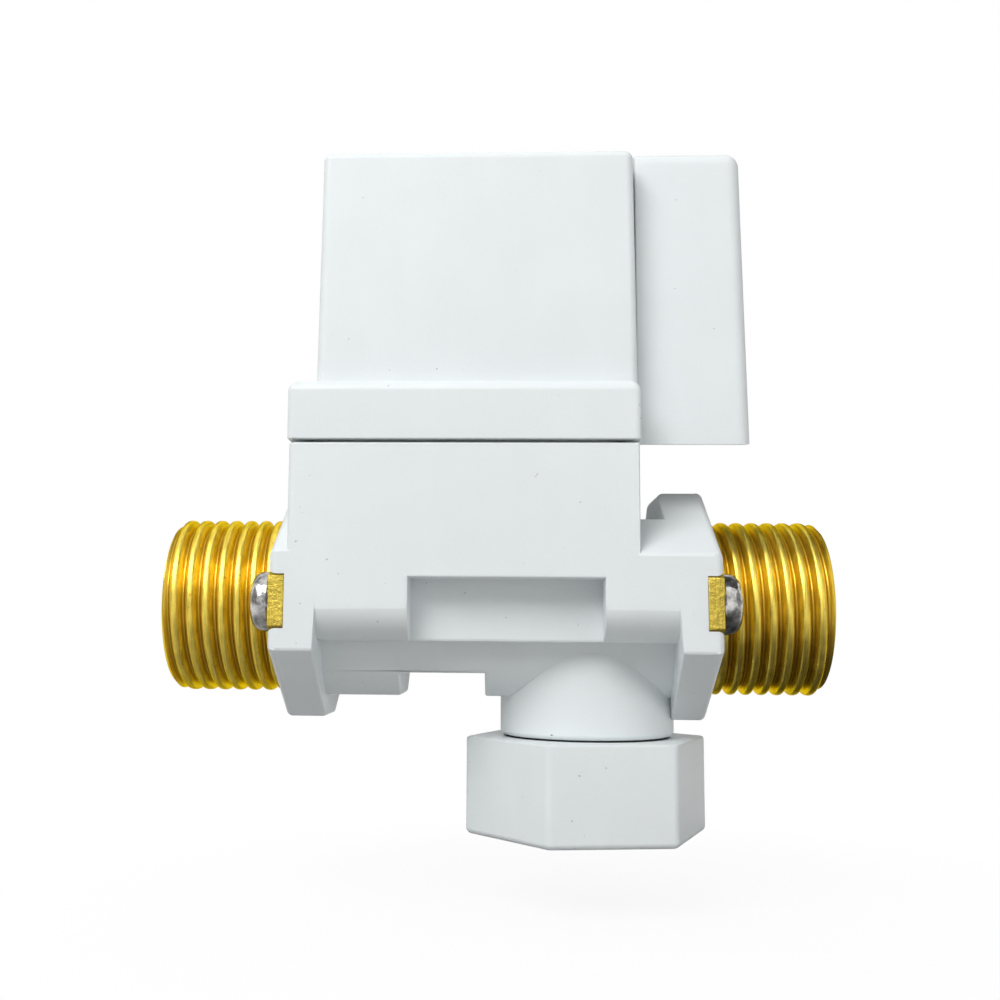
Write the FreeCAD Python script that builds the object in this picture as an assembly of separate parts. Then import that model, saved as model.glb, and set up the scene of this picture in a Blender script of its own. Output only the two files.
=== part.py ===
import FreeCAD
import Part

import math
import os

# Solenoid water valve with a built-in strainer, for a solar water heater.
# Lengths are millimetres. The shapes are drawn about the middle of the pipe axis,
# +X towards the inlet, +Y to the back and +Z up towards the coil, and are moved
# when they are written, so that the origin is the centre of the inlet port's face.

# Ports
overall_length = 76.0
thread_major = 20.75
thread_chamfer = 0.85
port_bore = 14.0
collar_length = 2.1
collar_step = 0.225
relief_width = 0.6
relief_depth = 0.6

# Brass end flanges
plate_thickness = 1.75
plate_disc = 23.0
ear_overhang = 0.1
ear_height = 5.4
ear_margin = 3.1
plate_fit = 0.1
end_screw_shank = 3.4
end_screw_depth = 9.5
end_head = 6.6
end_head_height = 2.35
end_head_room = 0.55
gasket_thickness = 1.5
gasket_outer = 21.4
gasket_inner = 15.2
gasket_fit = 0.2

# Plastic body
flange_span = 48.75
flange_thickness = 5.5
inlet_flange_low = 4.0
outlet_flange_low = 4.7
flange_rise = 13.35
flange_drop = 13.0
flange_top_width = 8.0
flange_facet = 10.6
flange_round = 0.9
block_top = 17.3
block_bottom = -4.2
block_round = 4.4
shoulder_top = 9.7
tube_outer = 23.0
tube_flat = -10.45
notch_left = -10.8
notch_right = -1.1
notch_depth = 2.7
recess_left = -9.25
recess_right = 11.8
recess_top = 2.6
recess_depth = 4.0
edge_round = 0.7
flow_bore = 11.0

# Strainer chamber and cap
strainer_x = 10.9
chamber_bottom = -15.0
chamber_bore = 15.6
chamber_wall = 2.4
chamber_roof = 6.5
chamber_round = 0.6
cap_gap = 0.2
cap_flats = 25.1
cap_turned = 9.2
cap_height = 11.15
cap_corner_round = 1.1
cap_edge_round = 0.7
cap_floor = 3.0
spigot_height = 6.6
spigot_fit = 0.1
spigot_wall = 1.5
seal_groove = 0.4
seal_groove_fit = 0.2
seal_width = 1.7
screen_fit = 0.3
screen_wall = 0.5
screen_ring = 1.2
screen_bars = 8
screen_gap = 0.3

# Seat and diaphragm
solenoid_x = -3.45
seat_bore = 9.0
seat_wall = 1.5
seat_height = 12.0
annulus_floor = 8.5
ledge_rise = 0.5
ledge_bore = 24.4
chamber_recess = 28.0
port_up_x = 9.5
port_up_bore = 6.6
port_up_top = 11.0
membrane = 1.4
membrane_web = 0.8
membrane_centre = 13.0
bead_width = 1.3
bead_height = 2.7
insert_disc = 11.0
insert_thickness = 1.0
insert_stem = 4.0
pilot_bore = 1.0
pilot_seat = 2.6
pilot_seat_height = 0.6
sealing_gap = 0.05

# Bonnet
bonnet_gap = 0.5
bonnet_thickness = 2.7
bonnet_corner = 3.0
bonnet_hub = 18.0
bonnet_hub_height = 1.2
bonnet_screw_inset = 3.2
bonnet_screw_shank = 2.9
bonnet_screw_depth = 9.0
bonnet_head = 5.2
bonnet_head_height = 1.7
screw_fit = 0.05

# Core tube, fixed core and plunger
core_tube_outer = 10.4
core_tube_wall = 0.5
core_tube_foot = 14.0
core_tube_foot_height = 1.0
tube_seal_height = 0.9
tube_fit = 0.1
plunger_fit = 0.1
plunger_length = 14.5
plunger_stroke = 2.5
plunger_pocket = 5.2
plunger_pocket_depth = 8.0
core_pocket_depth = 4.0
pilot_pad = 4.4
pilot_pad_height = 2.8
pilot_pad_grip = 1.2
stud_diameter = 6.0
stud_height = 3.9
spring_wire = 0.5
spring_fit = 0.3
spring_turns = 8
spring_sides = 6
spring_steps = 12

# Coil
bobbin_flange = 23.6
bobbin_height = 20.4
bobbin_flange_thickness = 1.3
bobbin_wall = 0.8
winding_inset = 0.6
winding_gap = 0.1
yoke_thickness = 1.6
yoke_width = 18.0
yoke_gap = 0.2
nut_flats = 10.0
nut_height = 2.9
washer_outer = 11.6
washer_thickness = 0.6
terminal_block_length = 4.8
terminal_block_width = 16.0
terminal_block_height = 7.3
terminal_spacing = 10.0
terminal_width = 6.3
terminal_thickness = 0.8
terminal_length = 15.0
terminal_hole = 1.7

# Coil cover
cover_gap = 0.3
coil_room = 1.25
skirt_end_overhang = 0.2
skirt_side_overhang = 0.3
skirt_height = 6.6
cover_left_step = 2.8
cover_right_step = 0.1
cover_side_step = 1.8
cover_top = 51.0
cover_draft = 0.6
cover_wall = 1.6
skirt_edge = 1.3
cover_edge = 0.9
window_width = 17.0
window_height = 7.6

# Terminal cover
hood_gap = 0.15
hood_length = 12.65
hood_width = 24.0
hood_bottom = 17.8
hood_back_rise = 5.5
hood_top = 52.25
hood_wall = 1.6
hood_edge = 1.6
hood_draft = 0.95
latch_length = 2.6
latch_thickness = 1.2
latch_height = 5.0
latch_fit = 0.3

# Places that follow from the sizes above
flange_face = flange_span / 2
plate_outer_x = flange_face
plate_inner_x = plate_outer_x - plate_thickness
gasket_inner_x = plate_inner_x - gasket_thickness
port_x = overall_length / 2
collar_diameter = thread_major - 2 * collar_step
end_screw_spacing = collar_diameter + end_head + 2 * end_head_room
ear_span = end_screw_spacing + 2 * ear_margin
body_depth = ear_span - 2 * ear_overhang
yoke_left = solenoid_x - bobbin_flange / 2 - yoke_gap - yoke_thickness
cover_left = yoke_left - coil_room - cover_wall
skirt_left = cover_left - cover_left_step
block_left = skirt_left + skirt_end_overhang
block_right = 2 * solenoid_x - block_left
skirt_right = block_right + skirt_end_overhang
cover_right = skirt_right - cover_right_step
skirt_depth = body_depth + 2 * skirt_side_overhang
cover_depth = skirt_depth - 2 * cover_side_step
bonnet_length = skirt_right - skirt_left - 2 * (cover_wall + bonnet_gap)
bonnet_width = skirt_depth - 2 * (cover_wall + bonnet_gap)
collar_end = plate_outer_x + collar_length
thread_start = collar_end + relief_width
chamber_outer = chamber_bore + 2 * chamber_wall
spigot_outer = chamber_bore - 2 * spigot_fit
spigot_bore = spigot_outer - 2 * spigot_wall
screen_outer = spigot_bore - 2 * screen_fit
cap_top = chamber_bottom - cap_gap
cap_bottom = cap_top - cap_height
cap_floor_z = cap_bottom + cap_floor
screen_foot = cap_floor_z + sealing_gap
ledge_height = seat_height + ledge_rise
membrane_bottom = seat_height + sealing_gap
insert_bottom = membrane_bottom + membrane
insert_top = insert_bottom + insert_thickness
pilot_top = insert_top + pilot_seat_height
bonnet_top = block_top + bonnet_thickness
hub_top = bonnet_top + bonnet_hub_height
core_tube_bore = core_tube_outer - 2 * core_tube_wall
plunger_diameter = core_tube_bore - 2 * plunger_fit
spring_outer = plunger_pocket - 2 * spring_fit
winding_outer = bobbin_flange - 2 * winding_inset
pad_bottom = pilot_top + sealing_gap
plunger_bottom = pad_bottom + pilot_pad_height - pilot_pad_grip
plunger_top = plunger_bottom + plunger_length
core_bottom = plunger_top + plunger_stroke
yoke_bottom = hub_top
bobbin_bottom = yoke_bottom + yoke_thickness + winding_gap
bobbin_top = bobbin_bottom + bobbin_height
yoke_top = bobbin_top + winding_gap + yoke_thickness
seal_top = hub_top - 1.4
tube_foot_top = seal_top - tube_seal_height
terminal_z = bobbin_top - terminal_block_height / 2
block_start_x = solenoid_x + bobbin_flange / 2 - 0.6
hood_left = skirt_right + hood_gap
hood_right = hood_left + hood_length


def box(x0, x1, y0, y1, z0, z1):
    corner = FreeCAD.Vector(x0, y0, z0)
    return Part.makeBox(x1 - x0, y1 - y0, z1 - z0, corner)


def rod_x(diameter, x0, x1, y=0.0, z=0.0):
    start = FreeCAD.Vector(x0, y, z)
    return Part.makeCylinder(diameter / 2, x1 - x0, start, FreeCAD.Vector(1, 0, 0))


def rod_z(diameter, z0, z1, x=0.0, y=0.0):
    start = FreeCAD.Vector(x, y, z0)
    return Part.makeCylinder(diameter / 2, z1 - z0, start, FreeCAD.Vector(0, 0, 1))


def ring_x(outer, inner, x0, x1):
    return rod_x(outer, x0, x1).cut(rod_x(inner, x0 - 1, x1 + 1))


def ring_z(outer, inner, z0, z1, x=0.0, y=0.0):
    return rod_z(outer, z0, z1, x, y).cut(rod_z(inner, z0 - 1, z1 + 1, x, y))


def prism_x(outline, x0, x1):
    """A prism along X from an outline of (y, z) points."""
    corners = [FreeCAD.Vector(x0, y, z) for y, z in outline]
    face = Part.Face(Part.makePolygon(corners + corners[:1]))
    return face.extrude(FreeCAD.Vector(x1 - x0, 0, 0))


def prism_y(outline, y0, y1):
    """A prism along Y from an outline of (x, z) points."""
    corners = [FreeCAD.Vector(x, y0, z) for x, z in outline]
    face = Part.Face(Part.makePolygon(corners + corners[:1]))
    return face.extrude(FreeCAD.Vector(0, y1 - y0, 0))


def prism_z(outline, z0, z1):
    """A prism along Z from an outline of (x, y) points."""
    corners = [FreeCAD.Vector(x, y, z0) for x, y in outline]
    face = Part.Face(Part.makePolygon(corners + corners[:1]))
    return face.extrude(FreeCAD.Vector(0, 0, z1 - z0))


def turned_x(profile):
    """A solid turned about the pipe axis from (x, radius) points."""
    corners = [FreeCAD.Vector(x, 0, r) for x, r in profile]
    face = Part.Face(Part.makePolygon(corners + corners[:1]))
    return face.revolve(FreeCAD.Vector(0, 0, 0), FreeCAD.Vector(1, 0, 0), 360)


def turned_z(profile, x=0.0, y=0.0):
    """A solid turned about a vertical axis from (radius, z) points."""
    corners = [FreeCAD.Vector(x + r, y, z) for r, z in profile]
    face = Part.Face(Part.makePolygon(corners + corners[:1]))
    return face.revolve(FreeCAD.Vector(x, y, 0), FreeCAD.Vector(0, 0, 1), 360)


def hexagon(flats, turned, x=0.0, y=0.0):
    """The (x, y) corners of a hexagon whose first flat faces the front, turned to +X."""
    radius = flats / math.sqrt(3)
    angles = [math.radians(turned - 90 + 30 + 60 * k) for k in range(6)]
    return [(x + radius * math.cos(a), y + radius * math.sin(a)) for a in angles]


def edges_where(shape, test):
    return [edge for edge in shape.Edges if test(edge)]


def stands(edge):
    """True for a straight edge that runs mostly along Z."""
    if len(edge.Vertexes) < 2:
        return False
    run = edge.Vertexes[1].Point - edge.Vertexes[0].Point
    return abs(run.z) > 10 * (abs(run.x) + abs(run.y))


def lies_at(edge, z, slack=0.01):
    bounds = edge.BoundBox
    return abs(bounds.ZMin - z) < slack and abs(bounds.ZMax - z) < slack


def tapered_box(x0, x1, y0, y1, z0, z1, draft, straight_left=False):
    """A box whose walls lean inwards by draft degrees from z0 up to z1."""
    lean = (z1 - z0) * math.tan(math.radians(draft))
    left_lean = 0.0 if straight_left else lean
    low = [(x0, y0), (x1, y0), (x1, y1), (x0, y1)]
    high = [(x0 + left_lean, y0 + lean), (x1 - lean, y0 + lean),
            (x1 - lean, y1 - lean), (x0 + left_lean, y1 - lean)]
    rings = []
    for outline, z in ((low, z0), (high, z1)):
        corners = [FreeCAD.Vector(x, y, z) for x, y in outline]
        rings.append(Part.makePolygon(corners + corners[:1]))
    return Part.makeLoft(rings, True, True)


def both_ends(shape):
    """The shape at the inlet end and its mirror image at the outlet end."""
    return [shape, shape.mirror(FreeCAD.Vector(0, 0, 0), FreeCAD.Vector(1, 0, 0))]


def flange_outline():
    half_depth = body_depth / 2
    half_facet = flange_facet / 2
    half_top = flange_top_width / 2
    right = [(half_top, -flange_drop), (half_depth, -half_facet), (half_depth, half_facet),
             (half_top, flange_rise)]
    return right + [(-y, z) for y, z in reversed(right)]


def end_flange(low_thickness):
    """The body's flange at the inlet end: its back leans, so it is thinner at its foot."""
    back = flange_face - flange_thickness
    thick = prism_x(flange_outline(), back, flange_face)
    lean = prism_y([(back, flange_rise), (flange_face, flange_rise),
                    (flange_face, -flange_drop), (flange_face - low_thickness, -flange_drop)],
                   -body_depth, body_depth)
    flange = thick.common(lean)
    rounded = edges_where(flange, lambda e: e.BoundBox.XMin > flange_face - 0.01
                          or e.BoundBox.XMax < back + 0.01 and lies_at(e, flange_rise))
    return flange.makeFillet(flange_round, rounded)


def end_plate(x0, x1, grow):
    """The oval end flange: a disc with two truncated ears, grown by a clearance."""
    radius = plate_disc / 2 + grow
    tip_y = ear_span / 2 + grow
    tip_z = ear_height / 2 + grow
    reach = math.hypot(tip_y, tip_z)
    touch = math.atan2(tip_z, tip_y) + math.acos(radius / reach)
    touch_y = radius * math.cos(touch)
    touch_z = radius * math.sin(touch)
    half = [(tip_y, -tip_z), (tip_y, tip_z), (touch_y, touch_z)]
    outline = half + [(-y, z) for y, z in reversed(half[1:])]
    outline += [(-tip_y, -tip_z), (-touch_y, -touch_z), (touch_y, -touch_z)]
    disc = rod_x(2 * radius, x0, x1)
    return disc.fuse(prism_x(outline, x0, x1)).removeSplitter()


def body_outside():
    half_depth = body_depth / 2
    bar = box(block_left, plate_inner_x, -half_depth, half_depth, block_bottom, block_top)
    low_edges = edges_where(bar, lambda e: lies_at(e, block_bottom) and e.BoundBox.XLength > 1)
    bar = bar.makeFillet(block_round, low_edges)
    block = bar.common(box(block_left, block_right, -half_depth, half_depth,
                           block_bottom, block_top))
    flanges = [end_flange(inlet_flange_low), both_ends(end_flange(outlet_flange_low))[1]]
    shoulder = prism_x(flange_outline(), block_right - 1, plate_inner_x).common(bar)
    shoulder = shoulder.common(box(block_right - 1, plate_inner_x, -half_depth, half_depth,
                                   block_bottom, shoulder_top))
    tube = rod_x(tube_outer, -plate_inner_x, plate_inner_x)
    tube = tube.common(box(-flange_face, flange_face, -tube_outer, tube_outer,
                           tube_flat, shoulder_top))
    tube = tube.cut(box(notch_left, notch_right, -tube_outer, tube_outer,
                        tube_flat - 1, tube_flat + notch_depth))
    chamber = rod_z(chamber_outer, chamber_bottom, 0, strainer_x)
    low_rim = edges_where(chamber, lambda e: lies_at(e, chamber_bottom))
    chamber = chamber.makeFillet(chamber_round, low_rim)
    return block.multiFuse(flanges + [shoulder, tube, chamber])


def recess(side):
    """The moulded window recess at the front (side -1) or the back (side 1)."""
    outer_y = side * (body_depth / 2 + 1)
    inner_y = side * (body_depth / 2 - recess_depth)
    low_y = min(outer_y, inner_y)
    high_y = max(outer_y, inner_y)
    return box(recess_left, recess_right, low_y, high_y, block_bottom - 1, recess_top)


def end_pockets():
    """What is cut from each end: the flange seat, the gasket seat and two screw holes."""
    reach = flange_face + 1
    seat = end_plate(plate_inner_x, reach, plate_fit)
    gasket_seat = rod_x(gasket_outer + 2 * gasket_fit, gasket_inner_x, reach)
    pocket = seat.fuse(gasket_seat)
    for side in (-1, 1):
        hole = rod_x(end_screw_shank + 2 * screw_fit, plate_outer_x - end_screw_depth - 0.5,
                     reach, side * end_screw_spacing / 2)
        pocket = pocket.fuse(hole)
    return both_ends(pocket)


def flow_way():
    """The water's way: inlet, strainer chamber, annulus round the seat, and outlet."""
    half_bore = seat_bore / 2
    inlet = rod_x(flow_bore, strainer_x, flange_face)
    outlet = rod_x(flow_bore, -flange_face, solenoid_x + half_bore)
    chamber = rod_z(chamber_bore, chamber_bottom - 1, chamber_roof, strainer_x)
    port_up = rod_z(port_up_bore, chamber_roof - 1, port_up_top, port_up_x)
    annulus = ring_z(ledge_bore, seat_bore + 2 * seat_wall, annulus_floor, seat_height,
                     solenoid_x)
    above_seat = rod_z(ledge_bore, seat_height, ledge_height, solenoid_x)
    lid_seat = rod_z(chamber_recess, ledge_height, block_top + 1, solenoid_x)
    seat_hole = rod_z(seat_bore, 0, ledge_height, solenoid_x)
    return [inlet, outlet, chamber, port_up, annulus, above_seat, lid_seat, seat_hole]


def bonnet_screw_places():
    reach_x = bonnet_length / 2 - bonnet_screw_inset
    reach_y = bonnet_width / 2 - bonnet_screw_inset
    return [(solenoid_x + i * reach_x, j * reach_y) for i in (-1, 1) for j in (-1, 1)]


def valve_body():
    body = body_outside()
    cuts = [recess(-1), recess(1)] + end_pockets() + flow_way()
    hole_bottom = bonnet_top - bonnet_thickness - bonnet_screw_depth - 0.5
    for x, y in bonnet_screw_places():
        cuts.append(rod_z(bonnet_screw_shank + 2 * screw_fit, hole_bottom, block_top + 1, x, y))
    for cut in cuts:
        body = body.cut(cut)
    body = body.removeSplitter()
    half_depth = body_depth / 2
    corners = edges_where(body, lambda e: stands(e) and e.BoundBox.XMin < block_left + 0.01
                          and abs(abs(e.BoundBox.YMin) - half_depth) < 0.01
                          and e.BoundBox.ZMax > block_top - 0.01)
    return body.makeFillet(edge_round, corners) if corners else body


def nipple():
    """The threaded brass nipple with its end flange, at the inlet end."""
    radius = thread_major / 2
    collar = collar_diameter / 2
    groove = radius - relief_depth
    shank = turned_x([(plate_inner_x, port_bore / 2), (plate_inner_x, collar),
                      (collar_end, collar), (collar_end, groove), (thread_start, groove),
                      (thread_start, radius), (port_x - thread_chamfer, radius),
                      (port_x, radius - thread_chamfer), (port_x, port_bore / 2)])
    plate = end_plate(plate_inner_x, plate_outer_x, 0.0)
    plate = plate.cut(rod_x(port_bore, plate_inner_x - 1, plate_outer_x + 1))
    for side in (-1, 1):
        plate = plate.cut(rod_x(end_screw_shank + 2 * screw_fit, plate_inner_x - 1,
                                plate_outer_x + 1, side * end_screw_spacing / 2))
    return shank.fuse(plate).removeSplitter()


def gasket():
    return ring_x(gasket_outer, gasket_inner, gasket_inner_x, plate_inner_x)


def domed_head(diameter, height):
    """A pan head standing on z = 0: a short straight rim under a crown of two cones."""
    radius = diameter / 2
    return turned_z([(0, 0), (radius, 0), (radius, 0.35 * height),
                     (0.78 * radius, 0.78 * height), (0.35 * radius, height), (0, height)])


def screw(shank, length, head, head_height):
    """A pan-head screw along +Z with the underside of its head on z = 0."""
    return domed_head(head, head_height).fuse(rod_z(shank, -length, 0)).removeSplitter()


def end_screws():
    """The two flange screws of the inlet end, pointing inwards."""
    screws = []
    for side in (-1, 1):
        piece = screw(end_screw_shank, end_screw_depth, end_head, end_head_height)
        piece.rotate(FreeCAD.Vector(0, 0, 0), FreeCAD.Vector(0, 1, 0), 90)
        piece.translate(FreeCAD.Vector(plate_outer_x, side * end_screw_spacing / 2, 0))
        screws.append(piece)
    return Part.makeCompound(screws)


def bonnet_screws():
    screws = []
    for x, y in bonnet_screw_places():
        piece = screw(bonnet_screw_shank, bonnet_thickness + bonnet_screw_depth,
                      bonnet_head, bonnet_head_height)
        piece.translate(FreeCAD.Vector(x, y, bonnet_top))
        screws.append(piece)
    return Part.makeCompound(screws)


def strainer_cap():
    outline = hexagon(cap_flats, cap_turned, strainer_x)
    head = prism_z(outline, cap_bottom, cap_top)
    head = head.makeFillet(cap_corner_round, edges_where(head, stands))
    low_edges = edges_where(head, lambda e: lies_at(e, cap_bottom))
    head = head.makeFillet(cap_edge_round, low_edges)
    groove = ring_z(chamber_bore + 2 * (seal_width + seal_groove_fit), spigot_outer,
                    cap_top - seal_groove, cap_top + 1, strainer_x)
    spigot = rod_z(spigot_outer, cap_top - 1, cap_top + spigot_height, strainer_x)
    hollow = rod_z(spigot_bore, cap_floor_z, cap_top + spigot_height + 1, strainer_x)
    return head.cut(groove).fuse(spigot).cut(hollow).removeSplitter()


def cap_seal():
    """The ring in the cap's groove, pressed against the neck."""
    return ring_z(chamber_bore + 2 * seal_width, chamber_bore, cap_top - seal_groove,
                  chamber_bottom, strainer_x)


def strainer_screen():
    """A slotted sleeve between two plain end rings, standing in the cap."""
    top = chamber_roof - screen_gap
    sleeve = ring_z(screen_outer, screen_outer - 2 * screen_wall, screen_foot, top, strainer_x)
    low = cap_top + spigot_height + screen_ring
    high = top - screen_ring
    slot_width = math.pi * screen_outer / screen_bars * 0.6
    for k in range(screen_bars // 2):
        slot = box(-screen_outer, screen_outer, -slot_width / 2, slot_width / 2, low, high)
        slot.rotate(FreeCAD.Vector(0, 0, 0), FreeCAD.Vector(0, 0, 1), k * 360 / screen_bars)
        slot.translate(FreeCAD.Vector(strainer_x, 0, 0))
        sleeve = sleeve.cut(slot)
    return sleeve


def diaphragm():
    """The rubber membrane: clamped rim bead, a web that rolls, and a thick centre."""
    bead_outer = chamber_recess / 2 - 0.1
    bead_inner = bead_outer - bead_width
    centre = membrane_centre / 2
    hole = insert_stem / 2 + 0.1
    bottom = membrane_bottom
    web_low = ledge_height + sealing_gap
    fold = web_low + 1.0
    middle = (bead_inner + centre) / 2
    profile = [(hole, bottom), (centre, bottom), (middle, fold), (bead_inner - 0.5, web_low),
               (bead_outer, web_low), (bead_outer, web_low + bead_height),
               (bead_inner, web_low + bead_height), (bead_inner - 0.5, web_low + membrane_web),
               (middle, fold + membrane_web), (centre, bottom + membrane),
               (hole, bottom + membrane)]
    return turned_z(profile, solenoid_x)


def diaphragm_insert():
    """The stiff disc on the membrane, with the pilot seat above and a stem below."""
    disc = rod_z(insert_disc, insert_bottom, insert_top, solenoid_x)
    seat = rod_z(pilot_seat, insert_top, pilot_top, solenoid_x)
    stem = rod_z(insert_stem, membrane_bottom - 2.5, insert_bottom, solenoid_x)
    way = rod_z(pilot_bore, membrane_bottom - 3.5, pilot_top + 1, solenoid_x)
    bleed = rod_z(pilot_bore * 0.6, insert_bottom - 1, insert_top + 1,
                  solenoid_x + insert_disc / 2 - 1.2)
    return disc.fuse(seat).fuse(stem).cut(way).cut(bleed).removeSplitter()


def bonnet():
    half_length = bonnet_length / 2
    half_width = bonnet_width / 2
    plate = box(solenoid_x - half_length, solenoid_x + half_length,
                -half_width, half_width, block_top, bonnet_top)
    plate = plate.makeFillet(bonnet_corner, edges_where(plate, stands))
    bead_top = ledge_height + sealing_gap + bead_height
    clamp_outer = chamber_recess - 0.2
    clamp_inner = clamp_outer - 2 * bead_width - 1.0
    clamp = ring_z(clamp_outer, clamp_inner, bead_top, block_top, solenoid_x)
    hub = rod_z(bonnet_hub, block_top, hub_top, solenoid_x)
    piece = plate.fuse(clamp).fuse(hub)
    piece = piece.cut(rod_z(core_tube_outer + 2 * tube_fit, 0, hub_top + 1, solenoid_x))
    piece = piece.cut(rod_z(core_tube_foot + 2 * tube_fit, 0, seal_top, solenoid_x))
    for x, y in bonnet_screw_places():
        piece = piece.cut(rod_z(bonnet_screw_shank + 2 * screw_fit, 0, bonnet_top + 1, x, y))
    return piece.removeSplitter()


def core_tube():
    foot_bottom = tube_foot_top - core_tube_foot_height
    tube = rod_z(core_tube_outer, foot_bottom, yoke_top, solenoid_x)
    foot = rod_z(core_tube_foot, foot_bottom, tube_foot_top, solenoid_x)
    bore = rod_z(core_tube_bore, 0, yoke_top + 1, solenoid_x)
    return tube.fuse(foot).cut(bore).removeSplitter()


def core_tube_seal():
    return ring_z(core_tube_foot, core_tube_outer + 2 * tube_fit, tube_foot_top, seal_top,
                  solenoid_x)


def fixed_core():
    """The fixed iron core that closes the tube, with a threaded stud on top."""
    core = rod_z(core_tube_bore, core_bottom, yoke_top, solenoid_x)
    pocket = rod_z(plunger_pocket, core_bottom - 1, core_bottom + core_pocket_depth, solenoid_x)
    stud = rod_z(stud_diameter, yoke_top, yoke_top + stud_height, solenoid_x)
    tip = edges_where(stud, lambda e: lies_at(e, yoke_top + stud_height))
    stud = stud.makeChamfer(0.5, tip)
    return core.fuse(stud).cut(pocket).removeSplitter()


def plunger():
    rod = rod_z(plunger_diameter, plunger_bottom, plunger_top, solenoid_x)
    rims = edges_where(rod, lambda e: lies_at(e, plunger_bottom) or lies_at(e, plunger_top))
    rod = rod.makeChamfer(0.4, rims)
    pocket = rod_z(plunger_pocket, plunger_top - plunger_pocket_depth, plunger_top + 1, solenoid_x)
    pad_seat = rod_z(pilot_pad, plunger_bottom - 1, plunger_bottom + pilot_pad_grip, solenoid_x)
    return rod.cut(pocket).cut(pad_seat).removeSplitter()


def plunger_seal():
    return rod_z(pilot_pad, pad_bottom, pad_bottom + pilot_pad_height, solenoid_x)


def plunger_spring():
    """The compression spring between the plunger and the fixed core, one solid."""
    low = plunger_top - plunger_pocket_depth + spring_wire / 2
    high = core_bottom + core_pocket_depth - spring_wire / 2
    radius = (spring_outer - spring_wire) / 2
    count = spring_turns * spring_steps
    rings = []
    for k in range(count + 1):
        turn = 2 * math.pi * k / spring_steps
        rise = low + (high - low) * k / count
        corners = []
        for j in range(spring_sides):
            a = 2 * math.pi * (j + 0.5) / spring_sides
            reach = radius + spring_wire / 2 * math.cos(a)
            corners.append(FreeCAD.Vector(solenoid_x + reach * math.cos(turn),
                                          reach * math.sin(turn),
                                          rise + spring_wire / 2 * math.sin(a)))
        rings.append(corners)
    facets = []
    for ring, following in zip(rings, rings[1:]):
        for j in range(spring_sides):
            n = (j + 1) % spring_sides
            facets.append([ring[j], ring[n], following[n]])
            facets.append([ring[j], following[n], following[j]])
    faces = [Part.Face(Part.makePolygon(f + f[:1])) for f in facets]
    for ring in (rings[0], rings[-1]):
        faces.append(Part.Face(Part.makePolygon(ring + ring[:1])))
    shell = Part.makeShell(faces)
    shell.sewShape()
    return Part.Solid(Part.Shell(shell.Faces))


def coil_bobbin():
    inner = core_tube_outer + 2 * tube_fit
    drum = ring_z(inner + 2 * bobbin_wall, inner, bobbin_bottom, bobbin_top, solenoid_x)
    low = ring_z(bobbin_flange, inner, bobbin_bottom, bobbin_bottom + bobbin_flange_thickness,
                 solenoid_x)
    high = ring_z(bobbin_flange, inner, bobbin_top - bobbin_flange_thickness, bobbin_top,
                  solenoid_x)
    half_width = terminal_block_width / 2
    block = box(block_start_x, block_start_x + terminal_block_length, -half_width, half_width,
                bobbin_top - terminal_block_height, bobbin_top)
    neck = box(solenoid_x + winding_outer / 2 + winding_gap, block_start_x + 1,
               -half_width / 2, half_width / 2,
               bobbin_top - bobbin_flange_thickness, bobbin_top)
    piece = drum.multiFuse([low, high, block, neck])
    for blade in terminal_slots():
        piece = piece.cut(blade)
    return piece.removeSplitter()


def terminal_bars(grow, start, end):
    bars = []
    for side in (-1, 1):
        y = side * terminal_spacing / 2
        half = terminal_thickness / 2 + grow
        bars.append(box(start, end, y - half, y + half,
                        terminal_z - terminal_width / 2 - grow,
                        terminal_z + terminal_width / 2 + grow))
    return bars


def terminal_slots():
    return terminal_bars(screw_fit, block_start_x + 1.2, block_start_x + terminal_length)


def coil_terminals():
    """Two push-on blades with a tapered tip and a locking hole."""
    start = block_start_x + 1.2
    end = start + terminal_length
    blades = []
    for bar in terminal_bars(0.0, start, end):
        tip = edges_where(bar, lambda e: abs(e.BoundBox.XMin - end) < 0.01
                          and e.BoundBox.XLength < 0.01 and e.BoundBox.YLength > 0.1)
        bar = bar.makeChamfer(1.0, tip)
        hole = Part.makeCylinder(terminal_hole / 2, terminal_spacing * 2,
                                 FreeCAD.Vector(end - 3.2, -terminal_spacing, terminal_z),
                                 FreeCAD.Vector(0, 1, 0))
        blades.append(bar.cut(hole))
    return Part.makeCompound(blades)


def coil_winding():
    inner = core_tube_outer + 2 * tube_fit + 2 * bobbin_wall + 2 * winding_gap
    low = bobbin_bottom + bobbin_flange_thickness + winding_gap
    high = bobbin_top - bobbin_flange_thickness - winding_gap
    return ring_z(winding_outer, inner, low, high, solenoid_x)


def coil_yoke():
    """A steel strip bent into a C round the coil, with a hole at each end."""
    right = solenoid_x + bobbin_flange / 2 - 1.5
    half = yoke_width / 2
    strip = box(yoke_left, right, -half, half, yoke_bottom, yoke_top)
    bend = edges_where(strip, lambda e: e.BoundBox.XMax < yoke_left + 0.01
                       and e.BoundBox.YLength > yoke_width - 0.1)
    strip = strip.makeFillet(yoke_thickness, bend)
    strip = strip.cut(box(yoke_left + yoke_thickness, right + 1, -half - 1, half + 1,
                          yoke_bottom + yoke_thickness, yoke_top - yoke_thickness))
    return strip.cut(rod_z(core_tube_outer + 2 * tube_fit, 0, yoke_top + 1, solenoid_x))


def yoke_washer():
    return ring_z(washer_outer, stud_diameter + 2 * tube_fit, yoke_top,
                  yoke_top + washer_thickness, solenoid_x)


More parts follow.
